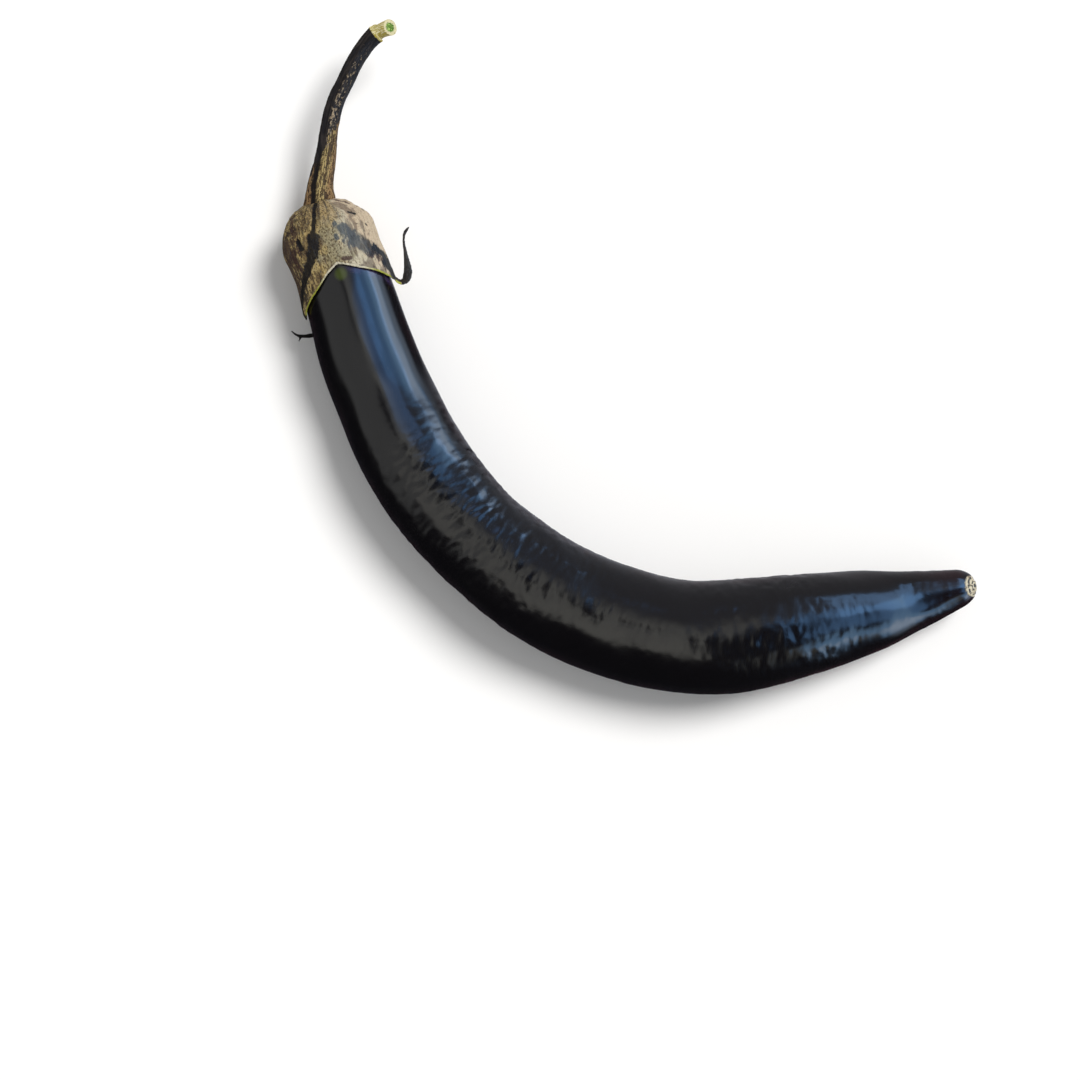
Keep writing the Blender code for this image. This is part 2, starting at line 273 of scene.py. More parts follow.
class Num:
    """A number socket that takes part in Python arithmetic by adding Math nodes."""

    def __init__(self, graph: "Graph", socket: bpy.types.NodeSocket) -> None:
        """Keeps what its Math nodes need.

        Args:
            graph: The graph that the socket belongs to.
            socket: The output that gives the number.
        """
        self.graph = graph
        self.socket = socket

    def _math(self, operation: str, first: "Num | float", second: "Num | float") -> "Num":
        """Adds one Math node.

        Args:
            operation: The node's operation.
            first: Its first value.
            second: Its second value.

        Returns:
            The node's result.
        """
        made = self.graph.node(
            "ShaderNodeMath", {"operation": operation}, {0: first, 1: second}
        )
        return Num(self.graph, made.outputs[0])

    def __add__(self, other: "Num | float") -> "Num":
        """self + other."""
        return self._math("ADD", self, other)

    __radd__ = __add__

    def __sub__(self, other: "Num | float") -> "Num":
        """self - other."""
        return self._math("SUBTRACT", self, other)

    def __rsub__(self, other: float) -> "Num":
        """other - self."""
        return self._math("SUBTRACT", other, self)

    def __mul__(self, other: "Num | float") -> "Num":
        """self * other."""
        return self._math("MULTIPLY", self, other)

    __rmul__ = __mul__

    def __abs__(self) -> "Num":
        """The size of self without its sign."""
        return self._math("ABSOLUTE", self, 0.0)

    def __or__(self, other: "Num | float") -> "Num":
        """The larger of the two, which joins two masks."""
        return self._math("MAXIMUM", self, other)

    def squared(self) -> "Num":
        """self times itself."""
        return self._math("MULTIPLY", self, self)

    def root(self) -> "Num":
        """The square root of self."""
        return self._math("SQRT", self, 0.0)

    def arc(self) -> "Num":
        """The angle in radians whose cosine is self."""
        return self._math("ARCCOSINE", self, 0.0)

    def angle(self, other: "Num") -> "Num":
        """The angle in radians whose sine goes with self and whose cosine goes with other."""
        return self._math("ARCTAN2", self, other)


class Graph:
    """The node tree of one material or world."""

    def __init__(self, owner: bpy.types.Material | bpy.types.World) -> None:
        """Turns the owner's nodes on.

        Args:
            owner: The material or world to work on.
        """
        owner.use_nodes = True
        self.owner = owner
        self.tree = owner.node_tree

    def feed(self, socket: bpy.types.NodeSocket, value: Any) -> None:
        """Links a value to a socket, or sets it there where it is plain.

        Args:
            socket: The socket to feed.
            value: A Num, a socket, a number, a vector or a colour.
        """
        if isinstance(value, Num):
            value = value.socket
        if isinstance(value, bpy.types.NodeSocket):
            self.tree.links.new(value, socket)
        elif socket.type == "RGBA":
            socket.default_value = (*value, 1.0)
        else:
            socket.default_value = value

    def node(
        self,
        kind: str,
        settings: Mapping[str, Any] | None = None,
        sockets: Mapping[str | int, Any] | None = None,
    ) -> bpy.types.Node:
        """Adds a node.

        Args:
            kind: The node's type.
            settings: Its own options, which are set first.
            sockets: Values or links of its inputs, by name or number.

        Returns:
            The node.
        """
        made = self.tree.nodes.new(kind)
        for name, value in (settings or {}).items():
            setattr(made, name, value)
        for name, value in (sockets or {}).items():
            self.feed(made.inputs[name], value)
        return made

    def vector(self, layer: Layer) -> bpy.types.NodeSocket:
        """The three numbers of a mesh attribute."""
        return self.node("ShaderNodeAttribute", {"attribute_name": layer.value}).outputs["Vector"]

    def number(self, layer: Layer) -> Num:
        """The one number of a mesh attribute."""
        made = self.node("ShaderNodeAttribute", {"attribute_name": layer.value})
        return Num(self, made.outputs["Fac"])

    def split(self, vector: bpy.types.NodeSocket) -> tuple[Num, Num, Num]:
        """The three numbers of a vector."""
        made = self.node("ShaderNodeSeparateXYZ", sockets={0: vector})
        return tuple(Num(self, socket) for socket in made.outputs)

    def join(self, first: Num | float, second: Num | float, third: Num | float) -> Any:
        """A vector of three numbers."""
        made = self.node("ShaderNodeCombineXYZ", sockets={0: first, 1: second, 2: third})
        return made.outputs[0]

    def stretched(
        self, vector: bpy.types.NodeSocket, pitch: Sequence[float], seed: float = 0.0
    ) -> bpy.types.NodeSocket:
        """A vector in units of a pitch along each axis, so that noise on it has that grain.

        Args:
            vector: The place to read, in millimetres.
            pitch: Millimetres for one unit of noise along each of the three.
            seed: Shifts the pattern.

        Returns:
            The vector for a texture node of scale 1.
        """
        scale = tuple(1 / size for size in pitch)
        settings = {"operation": "MULTIPLY_ADD"}
        sockets = {0: vector, 1: scale, 2: (seed, seed, seed)}
        return self.node("ShaderNodeVectorMath", settings, sockets).outputs[0]

    def clouds(
        self,
        vector: bpy.types.NodeSocket,
        pitch: Sequence[float],
        detail: float = 2.0,
        seed: float = 0.0,
    ) -> Num:
        """Noise from 0 to 1, mostly between 0.3 and 0.7.

        Args:
            vector: The place to read, in millimetres.
            pitch: Size of its blotches along each of the three.
            detail: Finer layers that are added to it.
            seed: Shifts the pattern.

        Returns:
            The noise.
        """
        place = self.stretched(vector, pitch, seed)
        sockets = {"Vector": place, "Scale": 1.0, "Detail": detail, "Roughness": 0.55}
        return Num(self, self.node("ShaderNodeTexNoise", sockets=sockets).outputs[0])

    def cells(self, vector: bpy.types.NodeSocket, pitch: Sequence[float], seed: float = 0.0) -> Num:
        """Distance to the nearest of many scattered points, in units of the pitch.

        Args:
            vector: The place to read, in millimetres.
            pitch: How far apart the points lie along each of the three.
            seed: Shifts the pattern.

        Returns:
            The distance.
        """
        place = self.stretched(vector, pitch, seed)
        sockets = {"Vector": place, "Scale": 1.0}
        return Num(self, self.node("ShaderNodeTexVoronoi", sockets=sockets).outputs[0])

    def step(self, value: Num, start: float, end: float) -> Num:
        """Goes smoothly from 0 at start to 1 at end.

        Args:
            value: The number to read.
            start: Where the result is 0.
            end: Where the result is 1, above or below start.

        Returns:
            The mask.
        """
        made = self.node(
            "ShaderNodeMapRange",
            {"interpolation_type": "SMOOTHSTEP"},
            {"Value": value, "From Min": start, "From Max": end},
        )
        return Num(self, made.outputs["Result"])

    def wrapped(self, degrees: Num) -> Num:
        """The same angle, from -180 to 180 degrees."""
        sockets = {0: degrees, 1: 180.0, 2: -180.0}
        return Num(self, self.node("ShaderNodeMath", {"operation": "WRAP"}, sockets).outputs[0])

    def mix(self, first: Any, second: Any, share: Num | float) -> bpy.types.NodeSocket:
        """A colour between two others.

        Args:
            first: The colour where share is 0.
            second: The colour where share is 1.
            share: The mask.

        Returns:
            The mixed colour.
        """
        made = self.node("ShaderNodeMix", {"data_type": "RGBA"}, {0: share, 6: first, 7: second})
        return made.outputs[2]

    def bump(self, height: Num, strength: float = 1.0) -> bpy.types.NodeSocket:
        """A normal that is bent by a height.

        Args:
            height: The relief in millimetres.
            strength: Share of it that shows.

        Returns:
            The normal.
        """
        sockets = {"Strength": strength, "Distance": MM, "Height": height}
        return self.node("ShaderNodeBump", sockets=sockets).outputs[0]

    def dress(self, **sockets: Any) -> bpy.types.Material | bpy.types.World:
        """Feeds the sockets of the shader that the owner came with.

        Args:
            **sockets: Values by socket name, with underscores for its spaces.

        Returns:
            The finished owner.
        """
        kinds = ("BSDF_PRINCIPLED", "BACKGROUND")
        shader = next(node for node in self.tree.nodes if node.type in kinds)
        for name, value in sockets.items():
            self.feed(shader.inputs[name.replace("_", " ")], value)
        return self.owner


class Piece:
    """A piece in the making: one object, and the steps that take it to its finish."""

    def __init__(self, name: str, mesh: bpy.types.Mesh) -> None:
        """Puts an object with a mesh of its own into the scene.

        Args:
            name: The piece's name.
            mesh: Its mesh, which nothing else uses.
        """
        self.object = bpy.data.objects.new(name, mesh)
        bpy.context.scene.collection.objects.link(self.object)

    @property
    def mesh(self) -> bpy.types.Mesh:
        """The object's mesh as it is now."""
        return self.object.data

    @classmethod
    def from_node(cls, node: str, name: str) -> "Piece":
        """Copies a CAD node, merges its loose triangles and pairs them into quads.

        Args:
            node: The CAD node's name.
            name: The new piece's name.

        Returns:
            The piece, in object mode.
        """
        piece = cls(name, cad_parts[node].data.copy())
        piece.mesh.materials.clear()
        piece.pick()
        bpy.ops.object.mode_set(mode="EDIT")
        bpy.ops.mesh.select_all(action="SELECT")
        bpy.ops.mesh.customdata_custom_splitnormals_clear()
        bpy.ops.mesh.remove_doubles(threshold=MERGE_WITHIN * MM)
        bpy.ops.mesh.mark_sharp(clear=True)
        bpy.ops.mesh.tris_convert_to_quads()
        bpy.ops.object.mode_set(mode="OBJECT")
        return piece

    def pick(self) -> None:
        """Selects this piece alone and makes it the active object."""
        bpy.ops.object.select_all(action="DESELECT")
        self.object.select_set(True)
        bpy.context.view_layer.objects.active = self.object

    def pick_edges(self, chosen: np.ndarray) -> None:
        """Goes into edit mode with only the chosen edges selected.

        Args:
            chosen: For each edge, whether it is wanted.
        """
        self.pick()
        bpy.ops.object.mode_set(mode="EDIT")
        bpy.ops.mesh.select_mode(type="EDGE")
        bpy.ops.mesh.select_all(action="DESELECT")
        mesh = bmesh.from_edit_mesh(self.mesh)
        mesh.edges.ensure_lookup_table()
        for index in np.flatnonzero(chosen).tolist():
            mesh.edges[index].select_set(True)
        bmesh.update_edit_mesh(self.mesh)

    def edges(self) -> np.ndarray:
        """Reads the mesh's edges.

        Returns:
            The two vertex numbers of each edge.
        """
        flat = np.empty(len(self.mesh.edges) * 2, int)
        self.mesh.edges.foreach_get("vertices", flat)
        return flat.reshape(-1, 2)

    def read(self, name: str) -> np.ndarray:
        """Reads three numbers of every vertex.

        Args:
            name: What to read: "co" for its place in metres, or "normal".

        Returns:
            One row for each vertex.
        """
        flat = np.empty(len(self.mesh.vertices) * 3)
        self.mesh.vertices.foreach_get(name, flat)
        return flat.reshape(-1, 3)

    def points(self) -> np.ndarray:
        """The vertices in millimetres."""
        return self.read("co") / MM

    def apply(self, kind: str, **settings: Any) -> None:
        """Adds a modifier and applies it at once.

        Args:
            kind: The modifier's type.
            **settings: Its settings.
        """
        self.pick()
        modifier = self.object.modifiers.new(kind.lower(), kind)
        for name, value in settings.items():
            setattr(modifier, name, value)
        bpy.ops.object.modifier_apply(modifier=modifier.name)

    def subdivide(self, levels: int) -> None:
        """Rounds the mesh by subdivision surface levels."""
        self.apply("SUBSURF", levels=levels, render_levels=levels)

    def carve(self, depths: np.ndarray) -> None:
        """Sinks every vertex below its surface by its own depth.

        Args:
            depths: Millimetres for each vertex, none below 0.
        """
        deepest = float(depths.max())
        group = self.object.vertex_groups.new(name="carving")
        for index, weight in enumerate((depths / deepest).tolist()):
            if weight > 0:
                group.add([index], weight, "REPLACE")
        sinking = {"direction": "NORMAL", "mid_level": 0.0, "strength": -deepest * MM}
        self.apply("DISPLACE", vertex_group=group.name, **sinking)
        self.object.vertex_groups.clear()

    def note(self, layer: Layer, values: np.ndarray) -> None:
        """Stores one number or three for each vertex, for the material to read.

        Args:
            layer: Which attribute it is.
            values: One row for each vertex.
        """
        kind, part = ("FLOAT_VECTOR", "vector") if values.ndim == 2 else ("FLOAT", "value")
        attribute = self.mesh.attributes.new(layer.value, kind, "POINT")
        attribute.data.foreach_set(part, values.astype(np.float32).ravel())

    def place(self, route: Route) -> np.ndarray:
        """Stores where each vertex lies on the route as if the route were straight.

        Args:
            route: The bent line it follows.

        Returns:
            Distance along, distance to the side and distance up, in millimetres.
        """
        along, degrees, out = route.locate(self.points())
        angle = np.radians(degrees)
        rows = np.column_stack([along, out * np.sin(angle), out * np.cos(angle)])
        self.note(Layer.PLACE, rows)
        return rows

    def hand_over(self, finish: bpy.types.Material, node: str, slot: str) -> bpy.types.Object:
        """Gives the finished mesh its material and ties the piece to the frame.

        Args:
            finish: Its material.
            node: The CAD node that it stands for.
            slot: The record's material slot; not used.

        Returns:
            The finished object.
        """
        self.mesh.materials.append(finish)
        self.pick()
        bpy.ops.object.shade_smooth()
        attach(self.object, "root")
        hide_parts(node)
        return self.object


@dataclass(frozen=True)
class SkinFinish:
    """Glossy skin: near-black purple, with warmer flanks that are partly its own tint and partly
    painted reflection, a painted reflection along the lower outline near the tip, and a corky
    blossom scar.
    """

    end: float
    deep: Colour = (0.0033, 0.0029, 0.0036)
    warm_tint_and_reflection: Colour = (0.016, 0.0062, 0.0078)
    painted_reflection: Colour = shade(74, 46, 52)
    violet: Colour = shade(82, 70, 118)
    green_spot: Colour = shade(52, 62, 14)
    cork: Colour = shade(196, 186, 160)
    cork_shade: Colour = shade(112, 98, 76)
    pit: Colour = shade(30, 26, 22)
    spot_along: float = 26.6
    spot_radius: float = 2.3
    scar_rise: float = 1.8
    scar_radius: float = 3.7

    def material(self) -> bpy.types.Material:
        """Builds the shader.

        Returns:
            The material.
        """
        graph = Graph(bpy.data.materials.new("eggplant_skin"))
        place = graph.vector(Layer.PLACE)
        along, side, up = graph.split(place)
        past_rim = graph.number(Layer.PAST_RIM)
        wrinkled = graph.number(Layer.WRINKLED)
        mottle = graph.clouds(place, (14.0, 9.0, 9.0), detail=3.0)

        # Partly the skin's own reddish tint and partly painted reflection: warmer along the flanks,
        # which are the outlines seen from above.
        flank_tint_and_reflection = graph.step(abs(up), 10.0, 2.0) * graph.step(mottle, 0.3, 0.65)
        colour = graph.mix(self.deep, self.warm_tint_and_reflection, flank_tint_and_reflection)

        # Painted reflection: a paler maroon line along the lower outline near the tip, where
        # grazing gloss would show.
        painted_reflection_mask = graph.step(abs(up - 2.0), 5.0, 1.0) * graph.step(side, -3.0, -8.0)
        painted_reflection_mask = painted_reflection_mask * graph.step(along, 205.0, 232.0) * graph.step(along, 284.0, 262.0)
        colour = graph.mix(colour, self.painted_reflection, painted_reflection_mask * graph.step(mottle, 0.35, 0.6))

        shaded = graph.step(past_rim, 3.0, 0.3) * graph.step(side, 1.0, 5.0)
        colour = graph.mix(colour, self.violet, 0.45 * shaded * graph.step(mottle, 0.35, 0.6))

        from_spot = (along - self.spot_along).squared() + side.squared()
        area = self.spot_radius * self.spot_radius
        spot = graph.step(from_spot, 1.3 * area, 0.1 * area) * graph.step(up, 0.0, 4.0)
        colour = graph.mix(colour, self.green_spot, 0.9 * spot)

        scar, cork = self.scar(graph, place)
        colour = graph.mix(colour, cork, scar)

        smear = graph.clouds(place, (9.0, 5.0, 5.0), detail=3.0, seed=2.0)
        roughness = 0.16 + 0.07 * graph.step(smear, 0.4, 0.7) + 0.05 * wrinkled + 0.5 * scar

        hoops = graph.clouds(place, (0.95, 1.5, 1.5), detail=1.0, seed=1.0)
        peel = graph.clouds(place, (0.5, 0.5, 0.5), detail=1.0, seed=6.0)
        height = 0.04 * wrinkled * hoops + 0.006 * peel + 0.2 * scar * peel
        return graph.dress(
            Base_Color=colour, Roughness=roughness, Normal=graph.bump(height), IOR=1.45
        )

    def scar(
        self, graph: Graph, place: bpy.types.NodeSocket
    ) -> tuple[Num, bpy.types.NodeSocket]:
        """The corky rings round the pit where the blossom sat.

        Args:
            graph: The skin's graph.
            place: Where each point lies on the straightened fruit.

        Returns:
            The scar's mask and its colour.
        """
        along, side, up = graph.split(place)
        ragged = graph.clouds(place, (1.1, 1.1, 1.1), detail=3.0, seed=9.0)
        out = (side.squared() + (up - self.scar_rise).squared()).root() + 1.1 * (ragged - 0.5)
        rim = self.scar_radius
        at_end = graph.step(along, self.end - 6.0, self.end - 5.0)
        scar = graph.step(out, rim + 0.25, rim - 0.25) * at_end
        dashes = graph.clouds(place, (1.2, 0.8, 0.8), detail=1.0, seed=3.0)
        cork = graph.mix(self.cork, self.cork_shade, graph.step(dashes, 0.5, 0.62))
        inner = graph.step(abs(out - 0.42 * rim), 0.32, 0.18) * graph.step(dashes, 0.42, 0.5)
        outer = graph.step(abs(out - 0.8 * rim), 0.36, 0.2) * graph.step(dashes, 0.38, 0.46)
        dark = graph.step(out, 0.8, 0.55) | inner | outer
        return scar, graph.mix(cork, self.pit, 0.95 * dark)


@dataclass(frozen=True)
class LeafFinish:
    """Dried calyx: tan to grey-green, with brown stipple, stains, black tips, a pale rim, and
    painted shade in its hollows, on its left flank and underside and under its right shoulder.
    """

    cream: Colour = shade(188, 180, 158)
    blush: Colour = shade(196, 178, 152)
    dusk: Colour = shade(120, 100, 86)
    moss: Colour = shade(134, 128, 102)
    straw: Colour = shade(176, 154, 102)
    root: Colour = shade(162, 140, 96)
    russet_and_shade: Colour = shade(66, 44, 38)
    umber: Colour = shade(40, 29, 24)
    dot: Colour = shade(74, 56, 38)
    slate: Colour = shade(70, 78, 84)
    char: Colour = shade(17, 15, 16)
    chalk: Colour = shade(206, 200, 172)
    rim_cream: Colour = shade(214, 208, 186)
    rim_green: Colour = shade(172, 174, 66)

    def material(self) -> bpy.types.Material:
        """Builds the shader.

        Returns:
            The material.
        """
        graph = Graph(bpy.data.materials.new("dried_calyx"))
        place = graph.vector(Layer.PLACE)
        along, side, up = graph.split(place)
        turn = side.angle(up)
        past_rim = graph.number(Layer.PAST_RIM)
        patches = graph.clouds(place, (6.0, 4.0, 4.0), detail=3.0) - 0.5
        blots = graph.clouds(place, (2.2, 1.5, 1.5), detail=3.0, seed=4.0) - 0.5
        grain = graph.clouds(place, (0.75, 0.5, 0.5), detail=3.0, seed=7.0) - 0.5
        fibres = graph.clouds(place, (6.0, 0.55, 0.55), detail=2.0, seed=2.0) - 0.5

        colour = graph.mix(self.straw, self.cream, graph.step(turn + patches, -0.2, 0.35))
        shoulder = graph.step(turn + 1.5 * patches - 0.02 * along, 0.15, 0.65)
        colour = graph.mix(colour, self.blush, shoulder)
        smudge = graph.clouds(place, (3.4, 2.4, 2.4), detail=4.0, seed=15.0) - 0.5
        colour = graph.mix(colour, self.dusk, 0.45 * shoulder * graph.step(smudge, 0.02, 0.2))
        middle = graph.step(abs(turn - 0.02) - 1.2 * patches, 0.34, 0.1) * graph.step(along, 6, 11)
        colour = graph.mix(colour, self.moss, 0.75 * middle)
        # Painted shade in the hollows of the relief, broken up by fibres and blots, in russet.
        groove = graph.number(Layer.GROOVE)
        hollow_shade = graph.step(groove + fibres + blots, 0.35, 0.9)
        colour = graph.mix(colour, self.russet_and_shade, 0.6 * hollow_shade)
        crown = graph.step(along + 6.0 * patches, 11.0, 5.0)
        crown = crown * graph.step(abs(turn + 0.1), 0.7, 0.35)
        rays = graph.clouds(graph.join(9.0 * turn, 0.09 * along, 0.0), (1.0, 1.0, 1.0)) - 0.5
        root = graph.mix(self.root, self.umber, graph.step(rays + 0.5 * grain, -0.04, 0.1))
        colour = graph.mix(colour, root, 0.9 * crown)
        bark = graph.clouds(place, (3.6, 0.8, 0.8), detail=3.0, seed=9.0) - 0.5
        left = graph.step(turn + 1.2 * patches, -0.2, -0.75)
        streaks = graph.step(bark + 0.5 * grain + 0.11 * left, 0.08, 0.18) * left
        colour = graph.mix(colour, self.umber, 0.92 * streaks)
        # Darker umber blotches on the left side.
        left_blotches = graph.clouds(place, (5.0, 3.2, 3.2), detail=4.0, seed=12.0) - 0.5
        left_blotches = graph.step(left_blotches + 0.5 * grain + 0.08 * left, 0.12, 0.23) * left
        colour = graph.mix(colour, self.umber, 0.9 * left_blotches)

        pits = graph.cells(place, (0.95, 0.62, 0.62), seed=2.0) + 0.9 * grain
        fine_pits = graph.cells(place, (0.55, 0.4, 0.4), seed=5.0) + 0.6 * grain
        stipple = graph.step(pits, 0.48, 0.24) | 0.8 * graph.step(fine_pits, 0.36, 0.14)
        sparse = graph.step(turn + 1.4 * patches, 0.1, 0.6)
        colour = graph.mix(colour, self.dot, stipple * (0.8 - 0.6 * sparse))
        pale = graph.step(grain + 0.3 * patches, 0.08, 0.2)
        colour = graph.mix(colour, self.chalk, 0.3 * pale)

        torn = 1.2 * blots + 0.7 * grain + 0.5 * fibres
        # Brown stains, and painted shade as wide brown patches on the left flank and the underside.
        brown = graph.step(graph.number(Layer.BROWN) + 2.2 * torn, 0.3, 0.85)
        colour = graph.mix(colour, self.russet_and_shade, 0.85 * brown)
        slate = graph.step(graph.number(Layer.SLATE) + 1.1 * torn - 1.1 * smudge, 0.16, 0.8)
        tone = graph.mix(self.slate, self.char, graph.step(turn + 0.8 * blots, 0.5, 1.05))
        colour = graph.mix(colour, tone, 0.85 * slate)
        # Black stains and tips, and one painted shade line under the right shoulder.
        ink = graph.step(graph.number(Layer.INK) + 0.9 * torn, 0.34, 0.66)
        colour = graph.mix(colour, self.char, 0.95 * ink)

        lip = graph.step(past_rim + 0.8 * grain, -0.95, -0.6) * (1.0 - graph.step(ink, 0.5, 0.9))
        green = graph.step(abs(turn - 0.12), 0.35, 0.75)
        lip_colour = graph.mix(self.rim_cream, self.rim_green, green)
        colour = graph.mix(colour, lip_colour, 0.9 * lip)

        roughness = 0.75 - 0.2 * ink + 0.2 * grain
        height = 0.5 * fibres + 0.4 * grain - 0.15 * stipple
        return graph.dress(
            Base_Color=colour,
            Roughness=roughness,
            Normal=graph.bump(height),
            Specular_IOR_Level=0.3,
        )


@dataclass(frozen=True)
class StalkFinish:
    """Stem: dark skin that turns tan towards its foot, with painted shade in the grooves of the tan
    part, and a bare core with a fresh cut.
    """

    skin_end: float
    dark: Colour = shade(30, 27, 27)
    dusty: Colour = shade(54, 49, 46)
    straw: Colour = shade(176, 156, 106)
    blush: Colour = shade(142, 114, 78)
    # Dark brown of marks on the core, and of the painted shade in the grooves.
    umber: Colour = shade(58, 40, 28)
    fleck: Colour = shade(176, 158, 132)
    char: Colour = shade(18, 15, 15)
    core: Colour = shade(170, 154, 66)
    cream: Colour = shade(226, 218, 176)
    pith: Colour = shade(72, 112, 30)
    pith_pale: Colour = shade(176, 204, 110)

    def material(self) -> bpy.types.Material:
        """Builds the shader.

        Returns:
            The material.
        """
        graph = Graph(bpy.data.materials.new("stem_skin"))
        place = graph.vector(Layer.PLACE)
        along, left, up = graph.split(place)
        patches = graph.clouds(place, (4.0, 1.8, 1.8), detail=3.0) - 0.5
        blots = graph.clouds(place, (1.5, 0.7, 0.7), detail=3.0, seed=4.0) - 0.5
        grain = graph.clouds(place, (0.6, 0.35, 0.35), detail=3.0, seed=5.0) - 0.5
        fibres = graph.clouds(place, (8.0, 0.5, 0.5), detail=2.0, seed=7.0) - 0.5

        straw = graph.mix(self.straw, self.blush, graph.step(abs(left) + 2.0 * patches, 1.6, 3.0))
        # Painted shade in the grooves of the relief, with dark lengthwise rows, in umber.
        groove = graph.number(Layer.GROOVE) + 0.8 * fibres + 0.5 * grain
        rows = graph.clouds(place, (5.0, 0.42, 0.42), detail=2.0, seed=8.0) - 0.5
        groove = graph.step(groove, 0.25, 0.55) | graph.step(rows + 0.5 * grain, -0.01, 0.09)
        straw = graph.mix(straw, self.umber, 0.9 * groove)
        pits = graph.cells(place, (0.9, 0.45, 0.45), seed=2.0) + 0.8 * grain
        scabs = graph.step(blots + 0.6 * grain, 0.02, 0.14) * graph.step(along, 14.0, 22.0)
        dots = graph.step(pits, 0.42, 0.2) | scabs
        straw = graph.mix(straw, self.char, 0.85 * dots)

        ragged = 5.0 * patches + 4.0 * blots + 1.5 * grain
        dark_side = graph.step(left + 0.33 * (along - 8.0) - 3.4 + ragged, -0.3, 0.3)
        streak = graph.step(abs(left - 2.0) + 1.6 * blots + 0.8 * grain, 1.05, 0.7)
        colour = graph.mix(straw, self.char, 0.95 * streak)
        skin = graph.mix(self.dark, self.dusty, graph.step(fibres + patches, -0.05, 0.25))
        colour = graph.mix(colour, skin, dark_side)

        middle = graph.step(abs(left + 0.9) + 1.5 * patches, 1.6, 0.7) * graph.step(up, -0.5, 0.8)
        fade = graph.step(along, self.skin_end + 4.0, 24.0)
        worn = blots + 0.6 * grain + 0.14 * fade - 0.03
        flecks = graph.step(worn, 0.13, 0.2) * middle * dark_side
        colour = graph.mix(colour, self.fleck, 0.85 * flecks)

        on_core = graph.step(along + 0.8 * blots, self.skin_end + 0.4, self.skin_end + 0.8)
        wood = graph.mix(self.core, self.cream, graph.step(fibres + grain, -0.05, 0.15))
        wood = graph.mix(wood, self.umber, 0.5 * graph.step(blots, 0.12, 0.25))
        out = (left.squared() + up.squared()).root() + 1.6 * grain
        green = graph.mix(self.pith, self.pith_pale, graph.step(blots + grain, -0.05, 0.15))
        face = graph.mix(green, self.cream, graph.step(out, 1.45, 1.8))
        wood = graph.mix(wood, face, graph.number(Layer.CUT))
        colour = graph.mix(colour, wood, on_core)

        roughness = 0.75 + 0.3 * grain
        height = 0.5 * fibres + 0.4 * grain + 0.2 * flecks - 0.15 * groove
        return graph.dress(
            Base_Color=colour,
            Roughness=roughness,
            Normal=graph.bump(height),
            Specular_IOR_Level=0.25,
        )


